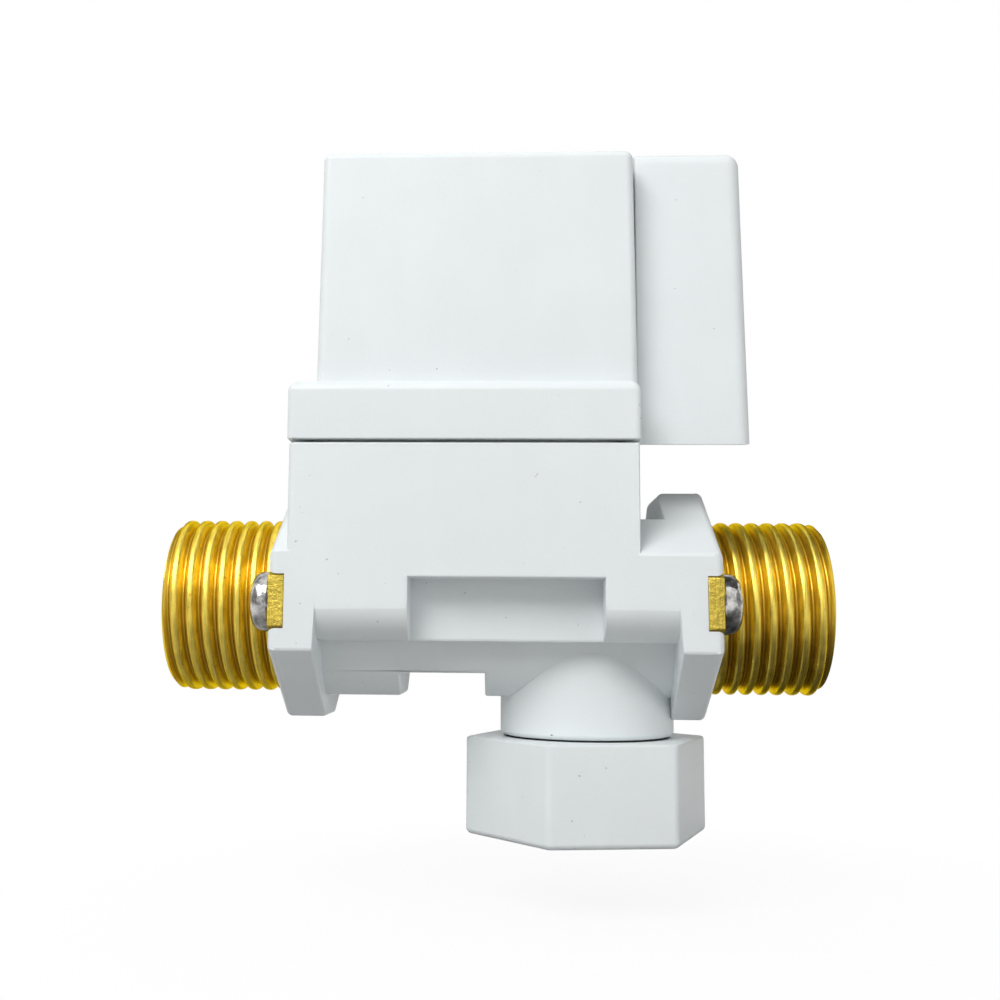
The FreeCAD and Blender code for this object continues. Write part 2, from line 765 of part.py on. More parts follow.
def yoke_nut():
    low = yoke_top + washer_thickness
    nut = prism_z(hexagon(nut_flats, 0.0, solenoid_x), low, low + nut_height)
    crown = turned_z([(0, low - 1), (nut_flats / 2 + 0.6, low - 1),
                      (nut_flats / 2 + 0.6, low + nut_height - 0.5),
                      (nut_flats / 2, low + nut_height), (0, low + nut_height)], solenoid_x)
    return nut.common(crown).cut(rod_z(stud_diameter + 2 * screw_fit, 0, cover_top, solenoid_x))


def coil_cover():
    """A moulded cover: a skirt over the bonnet and a drafted box over the coil."""
    base = block_top + cover_gap
    skirt_top = base + skirt_height
    half_skirt = skirt_depth / 2
    half_cover = cover_depth / 2
    skirt = box(skirt_left, skirt_right, -half_skirt, half_skirt, base, skirt_top)
    skirt = skirt.makeFillet(edge_round, edges_where(skirt, stands))
    rim = edges_where(skirt, lambda e: lies_at(e, skirt_top))
    skirt = skirt.makeFillet(skirt_edge, rim)
    tower = tapered_box(cover_left, cover_right, -half_cover, half_cover,
                        skirt_top - skirt_edge - 1, cover_top, cover_draft)
    tower = tower.makeFillet(cover_edge, edges_where(tower, stands)
                             + edges_where(tower, lambda e: lies_at(e, cover_top)))
    wall = cover_wall
    low_room = box(skirt_left + wall, skirt_right - wall, -half_skirt + wall, half_skirt - wall,
                   base - 1, skirt_top - wall)
    high_room = tapered_box(cover_left + wall, cover_right - wall, -half_cover + wall,
                            half_cover - wall, base, cover_top - wall, cover_draft)
    window = box(cover_right - 2 * wall, cover_right + wall, -window_width / 2,
                 window_width / 2, terminal_z - window_height / 2,
                 terminal_z + window_height / 2)
    return skirt.fuse(tower).cut(low_room).cut(high_room).cut(window).removeSplitter()


def terminal_cover():
    """A hood over the terminals, open to the coil cover and below, where the wires leave."""
    half = hood_width / 2
    wall = hood_wall
    hood = tapered_box(hood_left, hood_right, -half, half, hood_bottom, hood_top, hood_draft, True)
    far_edges = edges_where(hood, lambda e: stands(e) and e.BoundBox.XMin > hood_left + 1)
    top_edges = edges_where(hood, lambda e: lies_at(e, hood_top) and e.BoundBox.XMax > hood_left + 1)
    hood = hood.makeFillet(hood_edge, far_edges + top_edges)
    room = tapered_box(hood_left - 1, hood_right - wall, -half + wall, half - wall,
                       hood_bottom - 0.01, hood_top - wall, hood_draft, True)
    mouth = prism_x([(-half, hood_bottom), (half, hood_bottom + hood_back_rise),
                     (half + 1, hood_bottom - 1), (-half, hood_bottom - 1)],
                    hood_left - 1, hood_right + 1)
    hood = hood.cut(room).cut(mouth)
    latch_outer = window_width / 2 - latch_fit
    latch_inner = latch_outer - latch_thickness
    low = terminal_z - latch_height / 2
    high = terminal_z + latch_height / 2
    for side in (-1, 1):
        y0, y1 = sorted((side * latch_inner, side * latch_outer))
        tongue = box(hood_left - latch_length, hood_left + 3, y0, y1, low, high)
        y0, y1 = sorted((side * latch_inner, side * (half - wall / 2)))
        web = box(hood_left, hood_left + 3, y0, y1, low, high)
        hood = hood.fuse(tongue).fuse(web)
    return hood.removeSplitter()


def save(name, shape):
    shape = shape.copy()
    shape.translate(FreeCAD.Vector(-port_x, 0, 0))
    shape.exportStep("parts/" + name + ".step")
    solids = shape.Solids
    print(name, len(solids), shape.isValid(), round(sum(s.Volume for s in solids), 1))


def main():
    os.makedirs("parts", exist_ok=True)
    save("valve_body", valve_body())
    for name, shape in (("nipple", nipple()), ("gasket", gasket()), ("screws", end_screws())):
        inlet_piece, outlet_piece = both_ends(shape)
        save("inlet_" + name, inlet_piece)
        save("outlet_" + name, outlet_piece)
    for piece in (strainer_cap, cap_seal, strainer_screen, diaphragm, diaphragm_insert,
                  bonnet, bonnet_screws, core_tube, core_tube_seal, fixed_core, plunger,
                  plunger_seal, plunger_spring, coil_bobbin, coil_winding, coil_yoke,
                  yoke_washer, yoke_nut, coil_terminals, coil_cover, terminal_cover):
        save(piece.__name__, piece())


main()
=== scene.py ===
import math

import bmesh
import bpy
from bpy.props import FloatProperty, FloatVectorProperty, IntProperty, PointerProperty
from bpy.types import Operator, Panel, PropertyGroup
from mathutils import Matrix, Vector


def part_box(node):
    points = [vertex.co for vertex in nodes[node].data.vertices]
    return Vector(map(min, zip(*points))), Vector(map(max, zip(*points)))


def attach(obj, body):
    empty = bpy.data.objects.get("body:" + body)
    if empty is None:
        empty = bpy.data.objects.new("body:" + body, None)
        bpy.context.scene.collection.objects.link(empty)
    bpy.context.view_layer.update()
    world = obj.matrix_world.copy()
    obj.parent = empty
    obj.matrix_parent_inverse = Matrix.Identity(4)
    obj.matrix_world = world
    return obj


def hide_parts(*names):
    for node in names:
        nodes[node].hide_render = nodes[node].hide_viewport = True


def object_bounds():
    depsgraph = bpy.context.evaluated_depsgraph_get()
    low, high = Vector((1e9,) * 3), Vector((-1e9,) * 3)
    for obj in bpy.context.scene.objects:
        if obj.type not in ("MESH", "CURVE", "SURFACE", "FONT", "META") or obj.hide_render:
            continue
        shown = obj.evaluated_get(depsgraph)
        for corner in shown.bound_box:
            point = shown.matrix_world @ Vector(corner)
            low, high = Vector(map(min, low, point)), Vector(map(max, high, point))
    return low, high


bl_info = {
    "name": "Water valve finish",
    "version": (1, 0, 0),
    "blender": (4, 5, 0),
    "location": "View3D > Sidebar > Water valve",
    "description": "Builds the finish of a solenoid water valve round its fixed frame",
    "category": "Object",
}

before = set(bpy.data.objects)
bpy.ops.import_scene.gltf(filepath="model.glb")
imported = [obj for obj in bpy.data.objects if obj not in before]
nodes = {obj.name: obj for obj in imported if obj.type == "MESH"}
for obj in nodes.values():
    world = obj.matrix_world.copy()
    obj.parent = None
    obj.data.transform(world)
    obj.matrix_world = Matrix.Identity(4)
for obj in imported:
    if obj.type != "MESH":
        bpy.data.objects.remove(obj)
cad_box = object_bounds()

# Lengths are metres in the valve's own frame: the origin is the centre of the inlet
# port's face, +X points out of the inlet, +Y to the back and +Z up to the coil.
nipple_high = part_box("inlet_nipple")[1]
outlet_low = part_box("outlet_nipple")[0]
cover_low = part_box("coil_cover")[0]
cap_low, cap_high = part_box("strainer_cap")
seal_low, seal_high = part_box("cap_seal")
screws_low, screws_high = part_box("inlet_screws")
winding_low, winding_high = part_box("coil_winding")

pipe_middle = Vector(((nipple_high.x + outlet_low.x) / 2, 0.0, 0.0))
cap_axis = Vector(((seal_low.x + seal_high.x) / 2, 0.0, 0.0))
coil_axis = Vector(((winding_low.x + winding_high.x) / 2, 0.0, 0.0))
lie_along_x = Matrix.Rotation(math.radians(90), 4, "Y")
millimetre = 0.001
near_point = 1e-6
same_point = 1e-7
as_length = {"unit": "LENGTH", "precision": 6}
as_colour = {"size": 3, "min": 0.0, "max": 1.0, "subtype": "COLOR"}


class ThreadSizes(PropertyGroup):
    pipe_pitch: FloatProperty(
        name="Pipe thread pitch", description="Distance between two turns of the port thread",
        default=0.001814, min=0.0005, max=0.005, **as_length)
    pipe_crest: FloatProperty(
        name="Pipe thread crest", description="Radius over the crests of the port thread",
        default=0.01022, min=0.005, max=0.02, **as_length)
    pipe_depth: FloatProperty(
        name="Pipe thread depth", description="Height of the port thread from root to crest",
        default=0.00092, min=0.0002, max=0.002, **as_length)
    cap_pitch: FloatProperty(
        name="Cap thread pitch", description="Distance between two turns of the cap's thread",
        default=0.002, min=0.0005, max=0.005, **as_length)
    cap_depth: FloatProperty(
        name="Cap thread depth", description="Height of the strainer cap's thread",
        default=0.00065, min=0.0002, max=0.002, **as_length)
    inlet_clock: FloatProperty(
        name="Inlet thread start", description="Turn of the inlet's thread about the pipe",
        default=1.9, subtype="ANGLE", precision=4)
    outlet_clock: FloatProperty(
        name="Outlet thread start", description="Turn of the outlet's thread about the pipe",
        default=-1.48, subtype="ANGLE", precision=4)
    turn_steps: IntProperty(
        name="Steps in a turn", description="Faces that go round one turn of a thread",
        default=96, min=24, max=256)


class MouldingSizes(PropertyGroup):
    body_edge: FloatProperty(
        name="Body edge", description="Rounding on the valve body's outer edges",
        default=0.00028, min=0.0, max=0.001, **as_length)
    cover_edge: FloatProperty(
        name="Cover edge", description="Rounding on the covers' remaining edges",
        default=0.00018, min=0.0, max=0.001, **as_length)
    cap_edge: FloatProperty(
        name="Cap edge", description="Rounding on the strainer cap's upper edge",
        default=0.0003, min=0.0, max=0.001, **as_length)
    plate_edge: FloatProperty(
        name="Brass plate edge", description="Rounding on the edges of the brass end plates",
        default=0.00015, min=0.0, max=0.001, **as_length)


class ScrewSizes(PropertyGroup):
    head_height: FloatProperty(
        name="Head height", description="Height of the pan heads of the flange screws",
        default=0.00235, min=0.0005, max=0.004, **as_length)
    shank_radius: FloatProperty(
        name="Shank radius", description="Radius of the flange screws' shanks",
        default=0.0017, min=0.0005, max=0.004, **as_length)
    recess_reach: FloatProperty(
        name="Recess reach", description="Half the width of the cross recess",
        default=0.0015, min=0.0005, max=0.003, **as_length)
    recess_width: FloatProperty(
        name="Recess width", description="Width of each arm of the cross recess",
        default=0.00075, min=0.0002, max=0.002, **as_length)
    recess_depth: FloatProperty(
        name="Recess depth", description="Depth of the cross recess",
        default=0.0012, min=0.0002, max=0.002, **as_length)


class FinishColours(PropertyGroup):
    plastic: FloatVectorProperty(
        name="White plastic", description="Colour of the moulded plastic",
        default=(0.775, 0.815, 0.825), **as_colour)
    brass: FloatVectorProperty(
        name="Brass", description="Colour of clean brass",
        default=(0.95, 0.73, 0.13), **as_colour)
    # The root colour is partly tarnish and partly painted shade in the thread's roots.
    brass_dark: FloatVectorProperty(
        name="Shaded_tarnished brass", description="Colour of brass in the roots of the thread",
        default=(0.46, 0.29, 0.035), **as_colour)
    screw: FloatVectorProperty(
        name="Plated steel", description="Colour of the plated screws and tabs",
        default=(0.72, 0.71, 0.69), **as_colour)
    rubber: FloatVectorProperty(
        name="Rubber", description="Colour of the seals and the diaphragm",
        default=(0.02, 0.02, 0.021), **as_colour)
    strip: FloatVectorProperty(
        name="Zinc", description="Colour of the zinc-plated coil bracket",
        default=(0.55, 0.56, 0.57), **as_colour)
    iron: FloatVectorProperty(
        name="Turned steel", description="Colour of the turned cores and the core tube",
        default=(0.47, 0.48, 0.50), **as_colour)
    copper: FloatVectorProperty(
        name="Enamelled wire", description="Colour of the coil's wire",
        default=(0.58, 0.20, 0.07), **as_colour)
    bobbin: FloatVectorProperty(
        name="Bobbin", description="Colour of the moulded bobbin",
        default=(0.03, 0.03, 0.033), **as_colour)
    screen: FloatVectorProperty(
        name="Screen", description="Colour of the strainer screen",
        default=(0.72, 0.72, 0.66), **as_colour)


class StudioSettings(PropertyGroup):
    key_power: FloatProperty(
        name="Key lamp", description="Power of the large lamp at the upper left",
        default=3.1, min=0.0, unit="POWER")
    fill_power: FloatProperty(
        name="Fill lamp", description="Power of the lamp at the right",
        default=0.85, min=0.0, unit="POWER")
    top_power: FloatProperty(
        name="Top lamp", description="Power of the lamp above",
        default=0.15, min=0.0, unit="POWER")
    ambient: FloatProperty(
        name="Ambient light", description="Strength of the even light from all round",
        default=0.31, min=0.0)
    floor_card: FloatProperty(
        name="Floor card", description="How bright the card on the floor looks in the metal",
        default=0.09, min=0.0, max=1.0)
    side_card: FloatProperty(
        name="Side cards", description="How bright the cards at the sides look in the metal",
        default=0.42, min=0.0, max=1.0)
    back_card: FloatProperty(
        name="Back cards", description="How bright the cards behind and over the right end look",
        default=0.12, min=0.0, max=1.0)
    floor_drop: FloatProperty(
        name="Floor drop", description="Room under the cap for its travel when it unscrews",
        default=0.0082, min=0.0, max=0.05, **as_length)
    floor_radius: FloatProperty(
        name="Floor radius", description="Radius of the pale round floor",
        default=1.6, min=0.2, unit="LENGTH")
    camera_distance: FloatProperty(
        name="Camera distance", description="How far the camera stands in front of the pipe",
        default=0.14376, min=0.05, **as_length)
    camera_side: FloatProperty(
        name="Camera side", description="How far the camera stands right of the pipe's middle",
        default=0.00078, **as_length)
    camera_height: FloatProperty(
        name="Camera height", description="The camera's height above the pipe's axis",
        default=-0.00392, **as_length)
    camera_yaw: FloatProperty(
        name="Camera yaw", description="Turn of the camera to the left",
        default=0.04411, subtype="ANGLE", precision=5)
    camera_pitch: FloatProperty(
        name="Camera pitch", description="Tilt of the camera upwards",
        default=0.1166, subtype="ANGLE", precision=5)
    camera_roll: FloatProperty(
        name="Camera roll", description="Roll of the camera",
        default=0.00862, subtype="ANGLE", precision=5)
    camera_lens: FloatProperty(
        name="Camera lens", description="Focal length in millimetres",
        default=42.686, min=10.0, precision=3)
    camera_shift: FloatProperty(
        name="Camera shift", description="Sideways shift of the lens, in frame widths",
        default=0.05, precision=4)


# Materials

# A noise scale counts features to a metre, and noise keeps mostly to this range.
middle_range = (0.3, 0.7)


def start_finish(name, metallic=0.0):
    """A finish with its principled shader and the object's own coordinates."""
    material = bpy.data.materials.new(name + "_finish")
    material.use_nodes = True
    tree = material.node_tree
    surface = tree.nodes["Principled BSDF"]
    surface.inputs["Metallic"].default_value = metallic
    place = tree.nodes.new("ShaderNodeTexCoord").outputs["Object"]
    return material, tree, surface, place


def start_stage_material(name):
    """A stage material with no shader yet, and the object's own coordinates."""
    material = bpy.data.materials.new(name)
    material.use_nodes = True
    tree = material.node_tree
    tree.nodes.clear()
    surface = tree.nodes.new("ShaderNodeOutputMaterial").inputs["Surface"]
    place = tree.nodes.new("ShaderNodeTexCoord").outputs["Object"]
    return material, tree, surface, place


def stretched(tree, place, scale):
    """The coordinates scaled along each axis."""
    mapping = tree.nodes.new("ShaderNodeMapping")
    mapping.inputs["Scale"].default_value = scale
    tree.links.new(place, mapping.inputs["Vector"])
    return mapping.outputs["Vector"]


def noise(tree, place, scale, detail=3.0, roughness=0.55):
    """Smooth noise from 0 to 1."""
    texture = tree.nodes.new("ShaderNodeTexNoise")
    texture.inputs["Scale"].default_value = scale
    texture.inputs["Detail"].default_value = detail
    texture.inputs["Roughness"].default_value = roughness
    tree.links.new(place, texture.inputs["Vector"])
    return texture.outputs["Fac"]


def spread(tree, value, low, high, out_low=0.0, out_high=1.0):
    """The value's range from low to high, stretched to another range and clipped."""
    mapped = tree.nodes.new("ShaderNodeMapRange")
    mapped.inputs["From Min"].default_value = low
    mapped.inputs["From Max"].default_value = high
    mapped.inputs["To Min"].default_value = out_low
    mapped.inputs["To Max"].default_value = out_high
    tree.links.new(value, mapped.inputs["Value"])
    return mapped.outputs["Result"]


def set_or_link(tree, socket, value):
    """Links a socket to another node's output, or gives it a number or a colour."""
    if isinstance(value, bpy.types.NodeSocket):
        tree.links.new(value, socket)
    else:
        socket.default_value = (*value, 1.0) if socket.type == "RGBA" else value


def calculate(tree, operation, first, second=None):
    """A math node on one or two values, each a socket or a number."""
    maths = tree.nodes.new("ShaderNodeMath")
    maths.operation = operation
    set_or_link(tree, maths.inputs[0], first)
    if second is not None:
        set_or_link(tree, maths.inputs[1], second)
    return maths.outputs["Value"]


def distance_from_origin(tree, place):
    """How far the coordinates are from their origin."""
    length = tree.nodes.new("ShaderNodeVectorMath")
    length.operation = "LENGTH"
    tree.links.new(place, length.inputs[0])
    return length.outputs["Value"]


def blend_colours(tree, factor, first, second):
    """Two colours mixed by a factor. Each colour is a socket or red, green and blue."""
    mix = tree.nodes.new("ShaderNodeMix")
    mix.data_type = "RGBA"
    tree.links.new(factor, mix.inputs["Factor"])
    for name, value in (("A", first), ("B", second)):
        socket = next(s for s in mix.inputs if s.name == name and s.type == "RGBA")
        set_or_link(tree, socket, value)
    return next(s for s in mix.outputs if s.type == "RGBA")


def set_colour(tree, surface, factor, first, second):
    """The surface's colour, mixed from two."""
    mixed = blend_colours(tree, factor, first, second)
    tree.links.new(mixed, surface.inputs["Base Color"])


def set_roughness(tree, surface, value, low, high, at_low, at_high):
    """Roughness that follows a value from low to high."""
    roughness = spread(tree, value, low, high, at_low, at_high)
    tree.links.new(roughness, surface.inputs["Roughness"])


def raise_surface(tree, surface, height, strength, distance, before=None):
    """Bump from a height in 0 to 1, laid over the bump given before it."""
    bump = tree.nodes.new("ShaderNodeBump")
    bump.inputs["Strength"].default_value = strength
    bump.inputs["Distance"].default_value = distance
    tree.links.new(height, bump.inputs["Height"])
    if before is not None:
        tree.links.new(before, bump.inputs["Normal"])
    tree.links.new(bump.outputs["Normal"], surface.inputs["Normal"])
    return bump.outputs["Normal"]


def shaded(colour, share):
    """The colour at a share of its brightness."""
    return tuple(channel * share for channel in colour)


def white_plastic(name, colour):
    """Satin moulded plastic: fine grain, faint flow marks, and a few dark specks."""
    speck_colour = (0.30, 0.28, 0.25)
    depth_of_light = (1.2 * millimetre, 1.2 * millimetre, 1.3 * millimetre)
    material, tree, surface, place = start_finish(name)
    cloud = spread(tree, noise(tree, place, 70.0, detail=2.0), 0.35, 0.65)
    clouded = blend_colours(tree, cloud, shaded(colour, 0.975), colour)
    flow = noise(tree, stretched(tree, place, (1.0, 1.0, 0.35)), 260.0, detail=4.0)
    flow_marks = spread(tree, flow, 0.4, 0.75, out_high=0.35)
    mottled = blend_colours(tree, flow_marks, clouded, shaded(colour, 0.94))
    specks = spread(tree, noise(tree, place, 1500.0, detail=1.0), 0.79, 0.815, out_high=0.55)
    set_colour(tree, surface, specks, mottled, speck_colour)
    grain = noise(tree, place, 3200.0)
    set_roughness(tree, surface, grain, 0.2, 0.8, at_low=0.36, at_high=0.50)
    surface.inputs["Specular IOR Level"].default_value = 0.42
    surface.inputs["Subsurface Weight"].default_value = 0.06
    surface.inputs["Subsurface Radius"].default_value = depth_of_light
    surface.inputs["Subsurface Scale"].default_value = 1.0
    waves = noise(tree, place, 150.0, detail=1.0)
    broad = raise_surface(tree, surface, waves, strength=0.30, distance=0.25 * millimetre)
    raise_surface(tree, surface, grain, strength=0.22, distance=0.04 * millimetre,
                  before=broad)
    return material


def radius_from_pipe(tree, place):
    """The distance from the pipe's axis, in metres."""
    parts = tree.nodes.new("ShaderNodeSeparateXYZ")
    tree.links.new(place, parts.inputs["Vector"])
    across = calculate(tree, "MULTIPLY", parts.outputs["Y"], parts.outputs["Y"])
    up = calculate(tree, "MULTIPLY", parts.outputs["Z"], parts.outputs["Z"])
    return calculate(tree, "SQRT", calculate(tree, "ADD", across, up))


def threaded_brass(name, clean, dark, crest, depth):
    """Machined brass, darker in the roots from tarnish and painted shade, and cast rough on its
    ears.
    """
    stained_height = 0.4 * depth
    ear_starts, ear_begun = 11.7 * millimetre, 12.0 * millimetre
    ear_dulling, ear_roughening = 0.6, 0.14
    material, tree, surface, place = start_finish(name, metallic=1.0)
    surface.inputs["Specular Tint"].default_value = (*shaded(clean, 1.1), 1.0)
    radius = radius_from_pipe(tree, place)
    ear = spread(tree, radius, ear_starts, ear_begun)
    patch = noise(tree, place, 420.0, detail=4.0, roughness=0.6)
    cut_marks = noise(tree, stretched(tree, place, (1.0, 0.05, 0.05)), 6000.0)

    # Darker towards the thread's roots: partly tarnish, partly painted shade in the hollows.
    height = spread(tree, radius, crest - depth, crest - depth + stained_height)
    lit_and_cleaned = calculate(tree, "MULTIPLY", height, spread(tree, patch, 0.25, 0.62, 0.55, 1.0))
    stained = blend_colours(tree, lit_and_cleaned, dark, clean)
    lines = spread(tree, cut_marks, 0.46, 0.62, out_high=0.6)
    lined = blend_colours(tree, lines, stained, shaded(clean, 0.5))
    spots = spread(tree, noise(tree, place, 1700.0, detail=2.0), 0.64, 0.74, out_high=0.6)
    spotted = blend_colours(tree, spots, lined, dark)
    dulled = calculate(tree, "MULTIPLY", ear, ear_dulling)
    set_colour(tree, surface, dulled, spotted, shaded(clean, 0.4))

    worn = spread(tree, patch, *middle_range, 0.28, 0.42)
    rough_ear = calculate(tree, "MULTIPLY", ear, ear_roughening)
    tree.links.new(calculate(tree, "ADD", worn, rough_ear), surface.inputs["Roughness"])
    pits = calculate(tree, "MULTIPLY", ear, noise(tree, place, 2000.0, roughness=0.65))
    cast = raise_surface(tree, surface, pits, strength=0.8, distance=0.22 * millimetre)
    machined = raise_surface(tree, surface, cut_marks, strength=0.75,
                             distance=0.06 * millimetre, before=cast)
    raise_surface(tree, surface, patch, strength=0.25, distance=0.16 * millimetre,
                  before=machined)
    return material


def plated_steel(name, colour, smooth, rough, dents, stain):
    """Bright plating with darker handling marks, strong ones partly painted reflections, over
    soft dents.
    """
    material, tree, surface, place = start_finish(name, metallic=1.0)
    # Where the share is low, as on the screw heads, these marks are partly painted dark
    # reflections.
    marks = noise(tree, place, 900.0)
    set_colour(tree, surface, spread(tree, marks, 0.35, 0.65), colour, shaded(colour, stain))
    set_roughness(tree, surface, marks, *middle_range, smooth, rough)
    grit = noise(tree, place, 4200.0, detail=2.0)
    fine = raise_surface(tree, surface, grit, strength=0.15, distance=0.03 * millimetre)
    dips = noise(tree, place, 750.0, detail=1.0)
    raise_surface(tree, surface, dips, strength=dents, distance=0.22 * millimetre, before=fine)
    return material


def turned_steel(name, colour):
    """Turned steel with fine rings round the upright axis."""
    material, tree, surface, place = start_finish(name, metallic=1.0)
    rings = noise(tree, stretched(tree, place, (0.05, 0.05, 1.0)), 6000.0)
    set_colour(tree, surface, spread(tree, rings, *middle_range), colour, shaded(colour, 0.7))
    set_roughness(tree, surface, rings, *middle_range, at_low=0.24, at_high=0.42)
    raise_surface(tree, surface, rings, strength=0.4, distance=0.05 * millimetre)
    return material


def soft_rubber(name, colour):
    """Black rubber with a dull, faintly dusty skin."""
    dust_colour = (0.07, 0.07, 0.068)
    material, tree, surface, place = start_finish(name)
    dust = noise(tree, place, 600.0, detail=4.0)
    dusty = spread(tree, dust, 0.4, 0.75, out_high=0.5)
    set_colour(tree, surface, dusty, colour, dust_colour)
    set_roughness(tree, surface, dust, *middle_range, at_low=0.62, at_high=0.85)
    grain = noise(tree, place, 3500.0)
    raise_surface(tree, surface, grain, strength=0.3, distance=0.04 * millimetre)
    return material


def wound_wire(name, colour):
    """Enamelled wire laid side by side round the upright axis, with painted shade between the
    turns.
    """
    material, tree, surface, place = start_finish(name, metallic=0.85)
    wave = tree.nodes.new("ShaderNodeTexWave")
    wave.bands_direction = "Z"
    wave.inputs["Scale"].default_value = 520.0
    wave.inputs["Distortion"].default_value = 1.2
    wave.inputs["Detail"].default_value = 1.0
    tree.links.new(place, wave.inputs["Vector"])
    turns = wave.outputs["Fac"]
    # The darker bands between the turns are painted shade in the grooves.
    set_colour(tree, surface, turns, shaded(colour, 0.35), colour)
    set_roughness(tree, surface, turns, 0.0, 1.0, at_low=0.45, at_high=0.25)
    raise_surface(tree, surface, turns, strength=0.8, distance=0.1 * millimetre)
    return material


def moulded_nylon(name, colour, grain_scale):
    """Plain moulded nylon with a fine grain."""
    material, tree, surface, place = start_finish(name)
    cloud = spread(tree, noise(tree, place, 300.0), *middle_range)
    set_colour(tree, surface, cloud, colour, shaded(colour, 0.85))
    grain = noise(tree, place, grain_scale)
    set_roughness(tree, surface, grain, *middle_range, at_low=0.40, at_high=0.55)
    raise_surface(tree, surface, grain, strength=0.25, distance=0.04 * millimetre)
    return material


def seen_directly(tree):
    """1 for what the camera, a reflection or glass sees, and 0 for light on the valve."""
    path = tree.nodes.new("ShaderNodeLightPath")
    reflected = calculate(tree, "MAXIMUM", path.outputs["Is Glossy Ray"],
                          path.outputs["Is Transmission Ray"])
    return calculate(tree, "MAXIMUM", path.outputs["Is Camera Ray"], reflected)


def paper_white(name, drop):
    """A pale floor that keeps the valve's shadow and is white in the picture further out."""
    shadow_reach = 0.07
    white_under_valve = 0.91
    paper_lit, paper_seen = 0.48, 0.85
    material, tree, surface, place = start_stage_material(name)
    from_cap = tree.nodes.new("ShaderNodeMapping")
    from_cap.inputs["Location"].default_value = (-cap_axis.x, 0.0, drop - cap_low.z)
    tree.links.new(place, from_cap.inputs["Vector"])
    distance = distance_from_origin(tree, from_cap.outputs["Vector"])
    white = spread(tree, distance, 0.0, shadow_reach, out_low=white_under_valve)
    seen = seen_directly(tree)
    paper = tree.nodes.new("ShaderNodeBsdfDiffuse")
    tree.links.new(spread(tree, seen, 0.0, 1.0, paper_lit, paper_seen), paper.inputs["Color"])
    glow = tree.nodes.new("ShaderNodeEmission")
    glow.inputs["Strength"].default_value = 1.0
    mix = tree.nodes.new("ShaderNodeMixShader")
    tree.links.new(calculate(tree, "MULTIPLY", seen, white), mix.inputs["Fac"])
    tree.links.new(paper.outputs["BSDF"], mix.inputs[1])
    tree.links.new(glow.outputs["Emission"], mix.inputs[2])
    tree.links.new(mix.outputs["Shader"], surface)
    return material


def reflection_glow(name, near, away):
    """A glowing card face for painted reflections, as bright as given near the frame's origin
    and away from it.
    """
    near_reach, away_reach = 0.04, 0.15
    material, tree, surface, place = start_stage_material(name)
    distance = distance_from_origin(tree, place)
    brightness = spread(tree, distance, near_reach, away_reach, near, away)
    weave = spread(tree, noise(tree, place, 300.0), *middle_range, out_low=0.92)
    glow = tree.nodes.new("ShaderNodeEmission")
    tree.links.new(calculate(tree, "MULTIPLY", brightness, weave), glow.inputs["Strength"])
    tree.links.new(glow.outputs["Emission"], surface)
    return material


def finish_named(name, make, *colours, **settings):
    """The finish of that name, made once."""
    found = bpy.data.materials.get(name + "_finish")
    return found if found is not None else make(name, *colours, **settings)


# Mesh helpers

def merged_copy(node):
    """A mesh of a CAD node with its loose triangles joined and its flat faces whole."""
    bm = bmesh.new()
    bm.from_mesh(nodes[node].data)
    bmesh.ops.remove_doubles(bm, verts=bm.verts, dist=same_point)
    bmesh.ops.dissolve_limit(bm, angle_limit=math.radians(0.3), verts=bm.verts,
                             edges=bm.edges)
    return bm


def round_edges(bm, width, chosen, least_angle=25.0):
    """Bevels the outward edges that are sharper than an angle and pass the test."""
    edges = [edge for edge in bm.edges
             if edge.is_manifold and edge.is_convex
             and edge.calc_face_angle() > math.radians(least_angle) and chosen(edge)]
    bmesh.ops.bevel(bm, geom=edges, offset=width, offset_type="OFFSET", segments=2,
                    profile=0.5, affect="EDGES", clamp_overlap=False, material=-1,
                    loop_slide=True)
    bmesh.ops.remove_doubles(bm, verts=bm.verts, dist=2 * near_point)


def round_normals(face, axes):
    """Exact normals for a face that lies on a cylinder about one of the axes, or None."""
    same_radius = 0.99
    facing_out = 0.985
    for point, along in axes:
        arms = [loop.vert.co - point for loop in face.loops]
        arms = [arm - along * arm.dot(along) for arm in arms]
        reach = [arm.length for arm in arms]
        if min(reach) < same_radius * max(reach):
            continue
        outward = [arm.normalized() for arm in arms]
        if all(abs(arm.dot(face.normal)) > facing_out for arm in outward):
            side = 1 if outward[0].dot(face.normal) > 0 else -1
            return [arm * side for arm in outward]
    return None


def smooth_fan(loop):
    """The faces that meet smoothly round a corner, the corner's own face among them."""
    found = {loop.face}
    waiting = [loop.face]
    while waiting:
        face = waiting.pop()
        for edge in loop.vert.link_edges:
            if edge.smooth and face in edge.link_faces:
                fresh = [other for other in edge.link_faces if other not in found]
                found.update(fresh)
                waiting.extend(fresh)
    return found


def finished_piece(name, bm, material, smooth_angle=32.0, axes=()):
    """The object of a finished mesh: large faces stay flat, gentle edges are smooth."""
    bm.normal_update()
    for edge in bm.edges:
        edge.smooth = edge.is_manifold and edge.calc_face_angle() < math.radians(smooth_angle)
    normals = []
    for face in bm.faces:
        face.smooth = True
        exact = round_normals(face, axes)
        for number, loop in enumerate(face.loops):
            if exact:
                normals.append(exact[number])
                continue
            leaning = sum((other.normal * other.calc_area() for other in smooth_fan(loop)),
                          Vector())
            normals.append(leaning.normalized())
    mesh = bpy.data.meshes.new(name)
    bm.to_mesh(mesh)
    bm.free()
    mesh.normals_split_custom_set(normals)
    mesh.materials.append(material)
    piece = bpy.data.objects.new(name, mesh)
    bpy.context.scene.collection.objects.link(piece)
    return piece


def seat(piece, body, slot, *replaced):
    """The piece rides on its body and stands for CAD nodes, which are hidden. The slot is not
    used.
    """
    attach(piece, body)
    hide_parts(*replaced)


